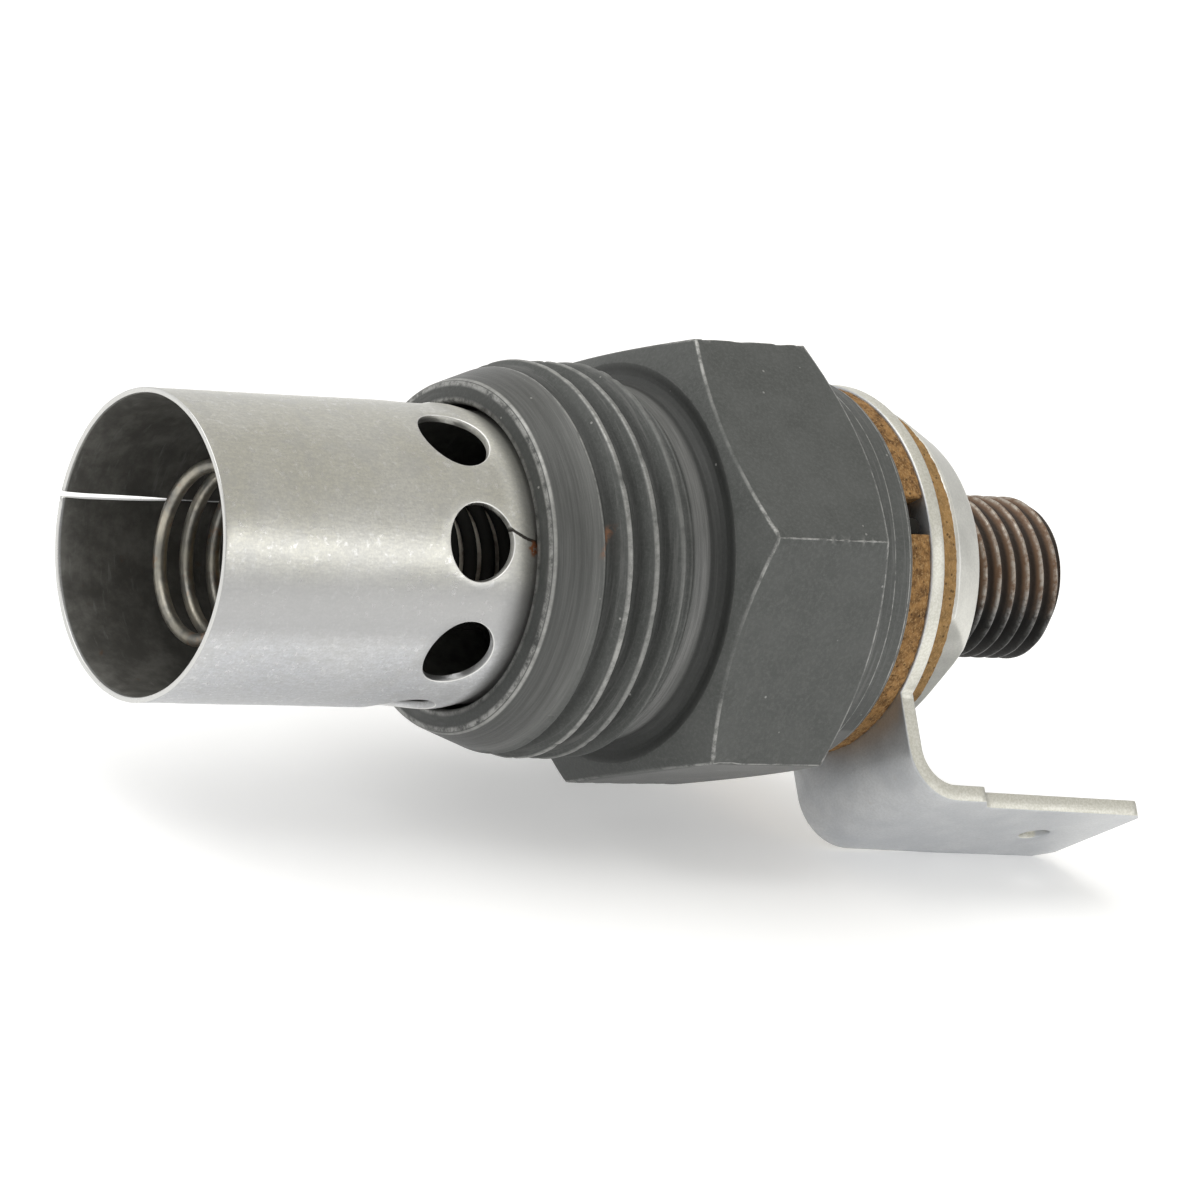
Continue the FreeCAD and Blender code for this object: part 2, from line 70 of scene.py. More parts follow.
HOLDER_LOW, HOLDER_HIGH = node_mm("holder")
SHIELD_LOW, SHIELD_HIGH = node_mm("flame_shield")
THICK_LOW, THICK_HIGH = node_mm("thick_fibre_washer")
THIN_LOW, THIN_HIGH = node_mm("thin_fibre_washer")
BLADE_LOW, BLADE_HIGH = node_mm("terminal_blade")
COLLAR_LOW, COLLAR_HIGH = node_mm("clamp_collar")
ADAPTOR_LOW, ADAPTOR_HIGH = node_mm("fuel_adaptor")
COIL_LOW, _ = node_mm("heater_coil")

# Sizes that a bounding box does not hold, as in the CAD model.
THREAD = {"major": 11.11, "root": 10.12, "pitch": 1.814, "crest_x": -6.99, "crest_clock": 22.8,
          "first_x": -8.45, "fade": 0.75, "round": 0.28}
STUB_THREAD = {"major": 4.76, "root": 4.18, "pitch": 1.058, "crest_x": 26.59, "crest_clock": 14.8,
               "first_x": 18.0, "fade": 0.5, "round": 0.12}
HEX_APOTHEM = HOLDER_HIGH.y
HEX_CORNER_CLOCK = 30.0
SHIELD_R = SHIELD_HIGH.z
SHIELD_WALL = 0.45
STACK_BORE_R = 6.2
BLADE_CLOCK = -49.1
SLOT_CLOCK = 41.0
SLOT_HALF = 1.1
VENT_CLOCK = 28.6
VENT_X = -15.0
VENT_R = 2.1
CHAMBER_R = 7.9
STACK_END_X = 8.0
BORE_STEP = 6


# ---------------------------------------------------------------- small maths


def clock_xyz(x, radius, clock):
    """Point at a distance along the axis, a radius and a clock angle."""
    a = math.radians(clock)
    return Vector((x, -radius * math.cos(a), radius * math.sin(a)))


def soft_min(a, b, k):
    """Smooth minimum that rounds the corner between two surfaces over about k."""
    return 0.5 * (a + b - np.sqrt((a - b) ** 2 + k * k))


def soft_max(a, b, k):
    """Smooth maximum that fills the corner between two surfaces over about k."""
    return 0.5 * (a + b + np.sqrt((a - b) ** 2 + k * k))


def rough(point, scale, seed):
    """Repeatable noise from about -1 to 1 at a point in millimetres."""
    return noise.noise(Vector(point) * scale + Vector((seed, 2.3 * seed, -1.7 * seed)))


def thread_radius(x, clock, t):
    """Rounded 60 degree right-hand thread form at each x and clock."""
    crest = t["crest_x"] - t["pitch"] * (clock - t["crest_clock"]) / 360.0
    phase = (x - crest) / t["pitch"]
    off = np.abs(phase - np.round(phase)) * t["pitch"]
    flank = t["major"] - np.maximum(off - t["pitch"] / 16, 0) / math.tan(math.radians(30))
    fade = np.clip((t["first_x"] - x) / t["fade"], 0, 1)
    root = t["root"] + (t["major"] + 0.3 - t["root"]) * fade * fade * (3 - 2 * fade)
    return soft_max(flank, root - 0.4 * t["round"], t["round"])


# ---------------------------------------------------------------- mesh builders


def new_piece(name, verts, faces, material, body, nodes):
    """Smooth-shaded piece from a mesh in millimetres, riding on a body in place of CAD nodes."""
    mesh = bpy.data.meshes.new(name)
    mesh.from_pydata([tuple(v) for v in verts], [], faces)
    mesh.transform(Matrix.Scale(MM, 4))
    mesh.update()
    piece = bpy.data.objects.new(name, mesh)
    bpy.context.scene.collection.objects.link(piece)
    for polygon in mesh.polygons:
        polygon.use_smooth = True
    add_wear(mesh)
    mesh.materials.append(material)
    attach(piece, body)
    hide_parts(*nodes)
    return piece


def add_wear(mesh):
    """Stores how convex each vertex is, per millimetre, for edge wear in the materials."""
    count = len(mesh.vertices)
    co = np.zeros(count * 3)
    mesh.vertices.foreach_get("co", co)
    co = co.reshape(-1, 3) / MM
    normal = np.zeros(count * 3)
    mesh.vertex_normals.foreach_get("vector", normal)
    normal = normal.reshape(-1, 3)
    ends = np.zeros(len(mesh.edges) * 2, int)
    mesh.edges.foreach_get("vertices", ends)
    a, b = ends.reshape(-1, 2).T
    span = co[b] - co[a]
    length2 = np.maximum((span ** 2).sum(1), 1e-8)
    bend_a = -(span * normal[a]).sum(1) / length2
    bend_b = (span * normal[b]).sum(1) / length2
    total = np.zeros(count)
    number = np.zeros(count)
    np.add.at(total, a, bend_a)
    np.add.at(total, b, bend_b)
    np.add.at(number, a, 1)
    np.add.at(number, b, 1)
    wear = mesh.attributes.new("wear", "FLOAT", "POINT")
    wear.data.foreach_set("value", (total / np.maximum(number, 1)).astype(np.float32))


def dense(section, step):
    """Adds points along the (x, radius) section: one per step on its outer half, fewer in the bore."""
    radii = [r for _, r in section]
    middle = 0.5 * (min(radii) + max(radii))
    points = []
    for k, (x0, r0) in enumerate(section):
        x1, r1 = section[(k + 1) % len(section)]
        size = step if min(r0, r1) > middle else BORE_STEP * step
        count = max(1, math.ceil(math.hypot(x1 - x0, r1 - r0) / size))
        for i in range(count):
            share = i / count
            points.append((x0 + (x1 - x0) * share, r0 + (r1 - r0) * share))
    return points


def lathe(section, clocks, shape):
    """Vertices and faces of a closed section swept round the axis.

    shape(x, r, clock) gives the final radius of each point.
    """
    xs = np.array([p[0] for p in section])
    rs = np.array([p[1] for p in section])
    grid_x = np.tile(xs, (len(clocks), 1))
    grid_c = np.tile(np.array(clocks)[:, None], (1, len(section)))
    grid_r = shape(grid_x, np.tile(rs, (len(clocks), 1)), grid_c)
    angle = np.radians(grid_c)
    verts = np.stack([grid_x, -grid_r * np.cos(angle), grid_r * np.sin(angle)], -1).reshape(-1, 3)
    rows = len(section)
    cols = len(clocks)
    faces = []
    for j in range(cols):
        here, there = j * rows, ((j + 1) % cols) * rows
        for i in range(rows):
            k = (i + 1) % rows
            faces.append((here + i, here + k, there + k, there + i))
    return verts, faces


def inside(point, loop):
    """True if a 2D point lies inside a closed loop of 2D points."""
    u, v = point
    result = False
    for (u0, v0), (u1, v1) in zip(loop, loop[1:] + loop[:1]):
        if (v0 > v) != (v1 > v) and u < u0 + (v - v0) * (u1 - u0) / (v1 - v0):
            result = not result
    return result


def inset(loop, distance):
    """Moves each point of a loop to its left by distance."""
    moved = []
    for k, point in enumerate(loop):
        before = Vector(loop[k - 1])
        after = Vector(loop[(k + 1) % len(loop)])
        here = Vector(point)
        first = (here - before).normalized()
        second = (after - here).normalized()
        side = Vector((-(first.y + second.y), first.x + second.x))
        if side.length < 1e-6:
            side = Vector((-first.y, first.x))
        side.normalize()
        half = max(0.5, math.sqrt(max(0.0, (1 + first.dot(second)) / 2)))
        moved.append(tuple(here + side * (distance / half)))
    return moved


def area(loop):
    """Signed area of a loop, positive if it runs anticlockwise."""
    return 0.5 * sum(u0 * v1 - u1 * v0 for (u0, v0), (u1, v1) in zip(loop, loop[1:] + loop[:1]))


def split_loop(loop, step):
    """Adds points to a closed loop so that none are further apart than step."""
    points = []
    for (u0, v0), (u1, v1) in zip(loop, loop[1:] + loop[:1]):
        count = max(1, math.ceil(math.hypot(u1 - u0, v1 - v0) / step))
        points += [(u0 + (u1 - u0) * i / count, v0 + (v1 - v0) * i / count) for i in range(count)]
    return points


def circle_loop(u, v, radius, count):
    turns = [2 * math.pi * k / count for k in range(count)]
    return [(u + radius * math.cos(t), v + radius * math.sin(t)) for t in turns]


def sheet(outline, holes, thickness, edge, spacing, place, walls=1):
    """Vertices and faces of a flat plate with holes and rounded edges, put in space by place(u, v, h)."""
    loops = [outline if area(outline) > 0 else outline[::-1]]
    loops += [hole if area(hole) < 0 else hole[::-1] for hole in holes]
    inner = [inset(loop, edge) for loop in loops]

    def on_plate(point):
        return inside(point, inner[0]) and not any(inside(point, h) for h in inner[1:])

    flat = []
    borders = []
    for loop in inner:
        start = len(flat)
        flat += loop
        borders += [(start + i, start + (i + 1) % len(loop)) for i in range(len(loop))]
    low_u = min(p[0] for p in outline)
    high_u = max(p[0] for p in outline)
    low_v = min(p[1] for p in outline)
    high_v = max(p[1] for p in outline)
    border_points = np.array(flat)
    for i in range(1, int((high_u - low_u) / spacing)):
        for j in range(1, int((high_v - low_v) / spacing)):
            point = (low_u + i * spacing, low_v + (j + 0.5 * (i % 2)) * spacing)
            gap = np.abs(border_points - point).max(1).min()
            if gap > 0.5 * spacing and on_plate(point):
                flat.append(point)
    out = geometry.delaunay_2d_cdt([Vector(p) for p in flat], borders, [], 0, 1e-7)
    points = [tuple(p) for p in out[0]]
    back = {}
    for new, olds in enumerate(out[3]):
        for old in olds:
            back[old] = new
    triangles = []
    for face in out[2]:
        centre = (sum(points[i][0] for i in face) / 3, sum(points[i][1] for i in face) / 3)
        if on_plate(centre):
            triangles.append(tuple(face))
    count = len(points)
    verts = [place(u, v, thickness) for u, v in points] + [place(u, v, 0.0) for u, v in points]
    faces = triangles + [tuple(count + i for i in reversed(t)) for t in triangles]
    start = 0
    for loop in loops:
        size = len(loop)
        rings = [[back[start + i] for i in range(size)]]
        mid = inset(loop, 0.3 * edge)
        levels = [(mid, thickness - 0.3 * edge)]
        for k in range(walls + 1):
            levels.append((loop, thickness - edge - (thickness - 2 * edge) * k / walls))
        levels.append((mid, 0.3 * edge))
        for ring, height in levels:
            rings.append(list(range(len(verts), len(verts) + size)))
            verts += [place(u, v, height) for u, v in ring]
        rings.append([count + back[start + i] for i in range(size)])
        for upper, lower in zip(rings, rings[1:]):
            for i in range(size):
                k = (i + 1) % size
                faces.append((upper[i], lower[i], lower[k], upper[k]))
        start += size
    return verts, faces


def tube_along(points, radius, sides):
    """Vertices and faces of a round wire with capped ends; radius(k) is its radius at point k."""
    verts, faces = [], []
    side = None
    for k, point in enumerate(points):
        ahead = points[min(k + 1, len(points) - 1)] - points[max(k - 1, 0)]
        ahead.normalize()
        if side is None:
            side = ahead.orthogonal().normalized()
        side = (side - ahead * side.dot(ahead)).normalized()
        other = ahead.cross(side)
        for s in range(sides):
            turn = 2 * math.pi * s / sides
            verts.append(point + (side * math.cos(turn) + other * math.sin(turn)) * radius(k))
    for k in range(len(points) - 1):
        for s in range(sides):
            t = (s + 1) % sides
            faces.append((k * sides + s, k * sides + t, (k + 1) * sides + t, (k + 1) * sides + s))
    faces.append(tuple(reversed(range(sides))))
    last = (len(points) - 1) * sides
    faces.append(tuple(last + s for s in range(sides)))
    return verts, faces


# ---------------------------------------------------------------- materials


class Graph:
    """Short way to write a material's nodes."""

    def __init__(self, name):
        self.material = bpy.data.materials.new(name)
        self.material.use_nodes = True
        self.tree = self.material.node_tree
        self.tree.nodes.clear()
        self.coords = self.node("ShaderNodeTexCoord").outputs["Object"]
        self.xyz = self.node("ShaderNodeSeparateXYZ", {"Vector": self.coords}).outputs

    def node(self, kind, inputs=None, **settings):
        made = self.tree.nodes.new(kind)
        for key, value in settings.items():
            setattr(made, key, value)
        for key, value in (inputs or {}).items():
            self.put(made.inputs[key], value)
        return made

    def put(self, socket, value):
        """Links a node's output to a socket, or sets its value."""
        if isinstance(value, bpy.types.NodeSocket):
            self.tree.links.new(value, socket)
        else:
            socket.default_value = value

    def noise(self, per_mm, detail=4.0, roughness=0.6, stretch=(1, 1, 1), offset=0.0):
        """Noise from 0 to 1 with a given number of features per millimetre."""
        scale = tuple(1000 * per_mm * s for s in stretch)
        mapped = self.node("ShaderNodeMapping", {"Vector": self.coords, "Scale": scale,
                                                 "Location": (offset, -offset, 0.5 * offset)})
        made = self.node("ShaderNodeTexNoise", {"Vector": mapped.outputs[0], "Scale": 1.0, "Detail": detail,
                                                "Roughness": roughness})
        return made.outputs["Fac"]

    def cells(self, per_mm, offset=0.0):
        """Distance to the nearest of scattered points, with a given number of points per millimetre."""
        mapped = self.node("ShaderNodeMapping", {"Vector": self.coords, "Scale": (1000 * per_mm,) * 3,
                                                 "Location": (offset, offset, -offset)})
        made = self.node("ShaderNodeTexVoronoi", {"Vector": mapped.outputs[0], "Scale": 1.0})
        return made.outputs["Distance"]

    def ramp(self, value, low, high, to_low=0.0, to_high=1.0):
        """Soft step from to_low to to_high as value goes from low to high."""
        made = self.node("ShaderNodeMapRange", {"Value": value, "From Min": low, "From Max": high,
                                                "To Min": to_low, "To Max": to_high},
                         interpolation_type="SMOOTHSTEP")
        return made.outputs[0]

    def math(self, operation, a, b=0.0):
        made = self.node("ShaderNodeMath", operation=operation)
        self.put(made.inputs[0], a)
        self.put(made.inputs[1], b)
        return made.outputs[0]

    def times(self, a, b):
        return self.math("MULTIPLY", a, b)

    def mix(self, factor, a, b):
        """Colour between a and b."""
        made = self.node("ShaderNodeMix", data_type="RGBA")
        self.put(made.inputs[0], factor)
        self.put(made.inputs[6], a if isinstance(a, bpy.types.NodeSocket) else (*a, 1.0))
        self.put(made.inputs[7], b if isinstance(b, bpy.types.NodeSocket) else (*b, 1.0))
        return made.outputs[2]

    def blend(self, factor, a, b):
        """Number between a and b."""
        made = self.node("ShaderNodeMix", data_type="FLOAT")
        self.put(made.inputs[0], factor)
        self.put(made.inputs[2], a)
        self.put(made.inputs[3], b)
        return made.outputs[0]

    def bump(self, height, depth_mm):
        made = self.node("ShaderNodeBump", {"Height": height, "Strength": 1.0, "Distance": depth_mm * MM})
        return made.outputs[0]

    def along(self):
        """x in millimetres."""
        return self.times(self.xyz[0], 1 / MM)

    def reach(self):
        """Distance from the axis in millimetres."""
        y2 = self.math("POWER", self.xyz[1], 2.0)
        z2 = self.math("POWER", self.xyz[2], 2.0)
        return self.times(self.math("SQRT", self.math("ADD", y2, z2)), 1 / MM)

    def up(self):
        """Height above the axis in millimetres."""
        return self.times(self.xyz[2], 1 / MM)

    def facing(self, direction):
        """How far the surface faces a direction, from -1 to 1."""
        true = self.node("ShaderNodeNewGeometry").outputs["Normal"]
        dot = self.node("ShaderNodeVectorMath", {0: true, 1: direction}, operation="DOT_PRODUCT")
        return dot.outputs["Value"]

    def outward(self):
        """How far the surface faces away from the axis, from -1 to 1."""
        flat = self.node("ShaderNodeCombineXYZ", {"Y": self.xyz[1], "Z": self.xyz[2]})
        unit = self.node("ShaderNodeVectorMath", {0: flat.outputs[0]}, operation="NORMALIZE")
        return self.facing(unit.outputs[0])

    def arc(self, radius, clock):
        """Distance round the axis from a clock angle, in millimetres, at a given radius."""
        angle = self.math("ARCTAN2", self.xyz[2], self.times(self.xyz[1], -1.0))
        return self.times(self.math("SUBTRACT", angle, math.radians(clock)), radius)

    def near(self, value, centre, half, soft):
        """1 within half of centre, falling to 0 over soft."""
        gap = self.math("ABSOLUTE", self.math("SUBTRACT", value, centre))
        return self.ramp(gap, half + soft, half)

    def wear(self):
        """Convexity stored on the mesh, per millimetre."""
        return self.node("ShaderNodeAttribute", attribute_name="wear").outputs["Fac"]

    def edge(self, radius_mm):
        """0 on flat surfaces, rising towards 1 on sharp edges of any mesh."""
        rounded = self.node("ShaderNodeBevel", {"Radius": radius_mm * MM}, samples=6).outputs[0]
        true = self.node("ShaderNodeNewGeometry").outputs["Normal"]
        dot = self.node("ShaderNodeVectorMath", {0: rounded, 1: true}, operation="DOT_PRODUCT")
        return self.ramp(dot.outputs["Value"], 0.99, 0.80)

    def finish(self, color, metallic, roughness, normal, specular=0.5):
        surface = self.node("ShaderNodeBsdfPrincipled", {"Base Color": color, "Metallic": metallic,
                                                         "Roughness": roughness, "Normal": normal,
                                                         "Specular IOR Level": specular})
        output = self.node("ShaderNodeOutputMaterial", {"Surface": surface.outputs[0]})
        output.is_active_output = True
        return self.material


def holder_steel():
    """Dark grey phosphate with a fine grain, worn light edges, pale specks and a rust scratch, with a painted
    highlight on the neck, a painted floor reflection on the lower hexagon flat and painted shade in the
    fillet and thread roots.
    """
    g = Graph("holder_steel")
    grain = g.noise(5.0, detail=5, roughness=0.75)
    cloud = g.noise(0.35, detail=5, offset=3)
    x, radius = g.along(), g.reach()
    base = g.mix(g.ramp(cloud, 0.3, 0.7), (0.066, 0.070, 0.066), (0.088, 0.092, 0.088))
    base = g.mix(g.ramp(grain, 0.40, 0.75, 0.0, 0.45), base, (0.15, 0.155, 0.15))
    turned = g.noise(1.0, detail=3, roughness=0.8, stretch=(4.5, 0.12, 0.12), offset=8)
    is_turned = g.math("MAXIMUM", g.ramp(x, 0.1, -0.3), g.ramp(x, 10.0, 10.6))
    base = g.mix(g.times(g.ramp(turned, 0.50, 0.72), g.times(is_turned, 0.5)), base,
                 (0.20, 0.20, 0.195))
    rings = g.ramp(turned, 0.35, 0.70)
    band = g.times(g.ramp(x, -8.2, -8.8), g.ramp(radius, 9.75, 9.95))
    neck = g.times(g.near(x, -1.35, 0.30, 0.50), g.ramp(radius, 10.6, 10.3))
    base = g.mix(g.times(band, 0.8), base, g.mix(rings, (0.11, 0.112, 0.108), (0.175, 0.178, 0.172)))
    # painted highlight: the neck's colour is lightened to stand in for the soft highlight it catches.
    base = g.mix(g.times(neck, 0.8), base, g.mix(rings, (0.15, 0.152, 0.148), (0.25, 0.25, 0.245)))
    clean = g.times(g.math("MAXIMUM", band, neck), 0.6)
    # painted reflection: the hexagon flat facing down at clock -60 is lightened to stand in for the pale
    # floor it reflects.
    under = g.times(g.near(g.arc(12.0, -60.0), 0.0, 5.9, 0.3), g.ramp(x, 1.0, 1.4))
    base = g.mix(g.times(under, 0.5), base, (0.21, 0.21, 0.205))
    # painted shade: the fillet beside the hexagon and the thread roots are darkened to stand in for the shade
    # that falls there.
    recess = g.times(g.near(x, -0.25, 0.40, 0.35), g.ramp(radius, 11.5, 10.9))
    groove = g.times(g.ramp(radius, 10.75, 10.25), g.ramp(x, -2.4, -3.4))
    painted_recess_shade = g.math("MAXIMUM", g.times(recess, 0.75), g.times(groove, 0.45))
    base = g.mix(painted_recess_shade, base, (0.020, 0.021, 0.020))
    rubbed = g.ramp(g.noise(1.3, detail=7, roughness=0.75, offset=5), 0.34, 0.62)
    edge = g.times(g.ramp(g.wear(), 0.18, 0.80), rubbed)
    fade_back = g.blend(g.near(x, -1.5, 1.7, 0.8), 1.0, 0.12)
    edge = g.times(edge, fade_back)
    speck = g.ramp(g.cells(0.55, offset=4), 0.050, 0.030)
    crest = g.times(g.ramp(radius, 10.97, 11.07), g.ramp(x, -3.2, -6.6, 0.25, 1.0))
    crest = g.times(crest, g.blend(rubbed, 0.35, 1.0))
    edge = g.blend(g.near(x, -5.5, 2.9, 0.4), edge, crest)
    ring = g.times(g.near(radius, 9.79, 0.03, 0.05), g.ramp(x, -10.9, -11.1))
    edge = g.math("MAXIMUM", edge, g.times(ring, g.blend(rubbed, 0.6, 1.0)))
    bright = g.math("MAXIMUM", g.times(edge, 0.85), g.times(speck, 0.6))
    color = g.mix(bright, base, (0.40, 0.40, 0.385))
    scratch_x = g.math("ADD", x, g.times(g.arc(11.0, 22.8), -0.45))
    scratch = g.times(g.near(scratch_x, -8.70, 0.06, 0.32), g.near(g.arc(11.0, 22.8), 1.2, 0.55, 0.6))
    scratch = g.times(scratch, g.ramp(g.noise(2.5, detail=6, offset=11), 0.38, 0.52))
    color = g.mix(g.times(scratch, 0.70), color, (0.26, 0.115, 0.05))
    rough_value = g.blend(g.math("MAXIMUM", bright, clean), g.ramp(cloud, 0.3, 0.7, 0.50, 0.60), 0.38)
    height = g.math("ADD", g.times(grain, 0.5), g.times(g.times(turned, is_turned), 0.8))
    normal = g.bump(height, 0.03)
    return g.finish(color, g.blend(bright, 0.25, 0.8), rough_value, normal)


def shield_steel():
    """Pale satin sheet outside with soft scuffs and a rust-ended crack; brown-black soot inside; painted
    reflections, warm above, bluish below and a dark band near clock 1, and painted shade at the rear end by
    the holder.
    """
    g = Graph("shield_steel")
    x = g.along()
    arc = g.arc(SHIELD_R, VENT_CLOCK)
    cloud = g.noise(0.22, detail=5, offset=2)
    blotch = g.noise(0.60, detail=4, roughness=0.55, offset=12)
    fine = g.noise(6.0, detail=4, stretch=(0.35, 1, 1), offset=7)
    scratch = g.ramp(g.noise(1.0, detail=5, roughness=0.8, stretch=(0.25, 2.4, 2.4), offset=9), 0.58, 0.70)
    grain = g.noise(7.0, detail=3, roughness=0.7, offset=31)
    fleck = g.ramp(g.noise(2.6, detail=4, roughness=0.7, offset=23), 0.55, 0.66)
    # painted reflection: warmer towards the top and bluer towards the bottom, standing in for the
    # surroundings and the floor reflected in the sheet.
    tone = g.mix(g.ramp(g.up(), -3.0, 4.0), (0.605, 0.615, 0.640), (0.625, 0.615, 0.550))
    base = g.mix(g.ramp(cloud, 0.35, 0.65, 0.0, 0.35), tone, (0.70, 0.70, 0.69))
    base = g.mix(g.ramp(grain, 0.36, 0.64, 0.30, 0.0), base, (0.36, 0.36, 0.355))
    base = g.mix(g.times(fleck, 0.40), base, (0.82, 0.82, 0.82))
    base = g.mix(g.ramp(blotch, 0.52, 0.66, 0.0, 0.35), base, (0.52, 0.52, 0.51))
    base = g.mix(g.ramp(fine, 0.42, 0.62, 0.0, 0.30), base, (0.44, 0.44, 0.43))
    # painted reflection: a darker band along the sheet near clock 1, standing in for a dark reflected band.
    base = g.mix(g.times(g.near(g.arc(SHIELD_R, 1.0), 0.0, 0.9, 1.6), 0.72), base, (0.38, 0.38, 0.385))
    base = g.mix(g.times(scratch, 0.35), base, (0.40, 0.40, 0.39))
    base = g.mix(g.ramp(g.wear(), 0.8, 3.0), base, (0.84, 0.84, 0.82))
    rim_face = g.ramp(x, SHIELD_LOW.x + 0.14, SHIELD_LOW.x + 0.03, 0.0, 0.5)
    base = g.mix(rim_face, base, (0.40, 0.40, 0.395))
    # painted shade: the rear end of the sheet darkens where it goes into the holder.
    rear_shade = g.times(g.ramp(x, -12.9, -11.5), 0.70)
    base = g.mix(rear_shade, base, (0.13, 0.13, 0.12))
    along = g.math("ADD", x, 12.95)
    bend = g.times(g.times(along, along), 0.16)
    path = g.math("ADD", g.times(along, -0.62), g.math("ADD", bend, 0.72))
    wander = g.times(g.math("SUBTRACT", g.noise(1.6, detail=4, offset=21), 0.5), 0.25)
    side = g.math("SUBTRACT", g.math("SUBTRACT", arc, path), wander)
    reach = g.times(g.ramp(x, -13.2, -13.0), g.ramp(x, -11.2, -11.3))
    crack = g.times(g.near(side, 0.0, 0.070, 0.05), reach)
    from_rust_x = g.math("ADD", x, 11.45)
    from_rust_arc = g.math("ADD", arc, 0.25)
    rust_gap = g.math("ADD", g.times(from_rust_x, from_rust_x), g.times(from_rust_arc, from_rust_arc))
    rust = g.times(g.ramp(rust_gap, 0.30, 0.04), g.ramp(g.noise(3.5, detail=5, offset=17), 0.40, 0.55))
    base = g.mix(crack, base, (0.03, 0.026, 0.022))
    base = g.mix(rust, base, (0.24, 0.085, 0.03))
    soot_patch = g.noise(0.5, detail=6, roughness=0.7, offset=4)
    streak = g.noise(1.0, detail=4, roughness=0.7, stretch=(2.2, 0.35, 0.35), offset=19)
    soot = g.mix(g.ramp(soot_patch, 0.35, 0.75), (0.090, 0.088, 0.080), (0.190, 0.187, 0.172))
    soot = g.mix(g.ramp(streak, 0.58, 0.75, 0.0, 0.6), soot, (0.24, 0.24, 0.23))
    tan = g.ramp(g.noise(0.8, detail=5, offset=15), 0.66, 0.75)
    soot = g.mix(g.times(tan, 0.5), soot, (0.15, 0.08, 0.04))
    is_inner = g.ramp(g.outward(), -0.35, -0.60)
    rim = g.ramp(x, SHIELD_LOW.x + 0.06, SHIELD_LOW.x + 0.22)
    sooty = g.times(is_inner, rim)
    color = g.mix(sooty, base, soot)
    dull = g.math("MAXIMUM", g.math("MAXIMUM", crack, rust), g.ramp(x, -13.6, -12.6, 0.0, 0.8))
    satin = g.math("SUBTRACT", g.ramp(cloud, 0.3, 0.7, 0.30, 0.38), g.times(fleck, 0.07))
    rough_value = g.blend(sooty, satin, 0.55)
    rough_value = g.blend(dull, rough_value, 0.6)
    height = g.math("ADD", g.times(fine, 0.6), g.times(blotch, 0.25))
    lip = g.times(g.ramp(side, -0.30, 0.05), g.ramp(side, 0.80, 0.15))
    lift = g.times(g.times(lip, reach), 6.0)
    normal = g.bump(g.math("ADD", height, lift), 0.012)
    return g.finish(color, g.blend(g.math("MAXIMUM", sooty, dull), 0.95, 0.4), rough_value, normal)


def fibre():
    """Pressed vulcanised fibre: mottled orange-brown, rough, with darker pits on the rim."""
    g = Graph("fibre")
    mottle = g.noise(1.6, detail=8, roughness=0.75, offset=1)
    strand = g.noise(5.5, detail=4, roughness=0.75, stretch=(1.5, 1, 1), offset=6)
    x = g.along()
    color = g.mix(g.ramp(mottle, 0.34, 0.66), (0.100, 0.045, 0.012), (0.38, 0.205, 0.070))
    is_thin = g.ramp(x, THICK_HIGH.x, THIN_LOW.x)
    color = g.mix(g.times(is_thin, 0.35), color, (0.46, 0.30, 0.12))
    color = g.mix(g.ramp(strand, 0.50, 0.62, 0.0, 0.7), color, (0.50, 0.32, 0.145))
    pit = g.ramp(g.cells(2.4, offset=2), 0.26, 0.10)
    color = g.mix(g.times(pit, 0.75), color, (0.035, 0.016, 0.006))
    height = g.math("ADD", mottle, g.times(strand, 0.8))
    return g.finish(color, 0.0, g.ramp(strand, 0.3, 0.7, 0.72, 0.92), g.bump(height, 0.10), specular=0.3)


def plated_steel(name, low, high, rim=None):
    """Pale satin plating with faint clouds, fine grain and bright rubbed edges; rim marks a sheared edge."""
    g = Graph(name)
    cloud = g.noise(0.45, detail=5, offset=3)
    fine = g.noise(7, detail=3, roughness=0.7, offset=5)
    lines = g.noise(1.0, detail=3, stretch=(0.4, 6, 6), offset=2)
    color = g.mix(g.ramp(cloud, 0.3, 0.7), low, high)
    color = g.mix(g.ramp(fine, 0.36, 0.64, 0.22, 0.0), color, (0.36, 0.36, 0.35))
    if rim is not None:
        sheared = g.mix(g.ramp(fine, 0.38, 0.64), (0.63, 0.62, 0.55), (0.75, 0.74, 0.68))
        color = g.mix(rim(g), color, sheared)
    color = g.mix(g.ramp(g.wear(), 0.7, 2.5), color, (0.86, 0.855, 0.83))
    stain = g.ramp(g.noise(0.9, detail=6, offset=8), 0.64, 0.74)
    color = g.mix(g.times(stain, 0.25), color, (0.40, 0.36, 0.30))
    height = g.math("ADD", g.times(fine, 0.6), lines)
    return g.finish(color, 0.85, g.ramp(cloud, 0.3, 0.7, 0.34, 0.46), g.bump(height, 0.012))


def blade_rim(g):
    """1 on the sheared sides of the terminal's sheet, 0 on its two faces."""
    x = g.along()
    out = clock_xyz(0, 1, BLADE_CLOCK)
    ring = g.ramp(g.math("ABSOLUTE", g.facing((1.0, 0.0, 0.0))), 0.6, 0.4)
    strip = g.ramp(g.math("ABSOLUTE", g.facing((0.0, out.z, -out.y))), 0.6, 0.8)
    return g.blend(g.ramp(x, THIN_LOW.x - 0.05, THIN_LOW.x + 0.05), ring, strip)


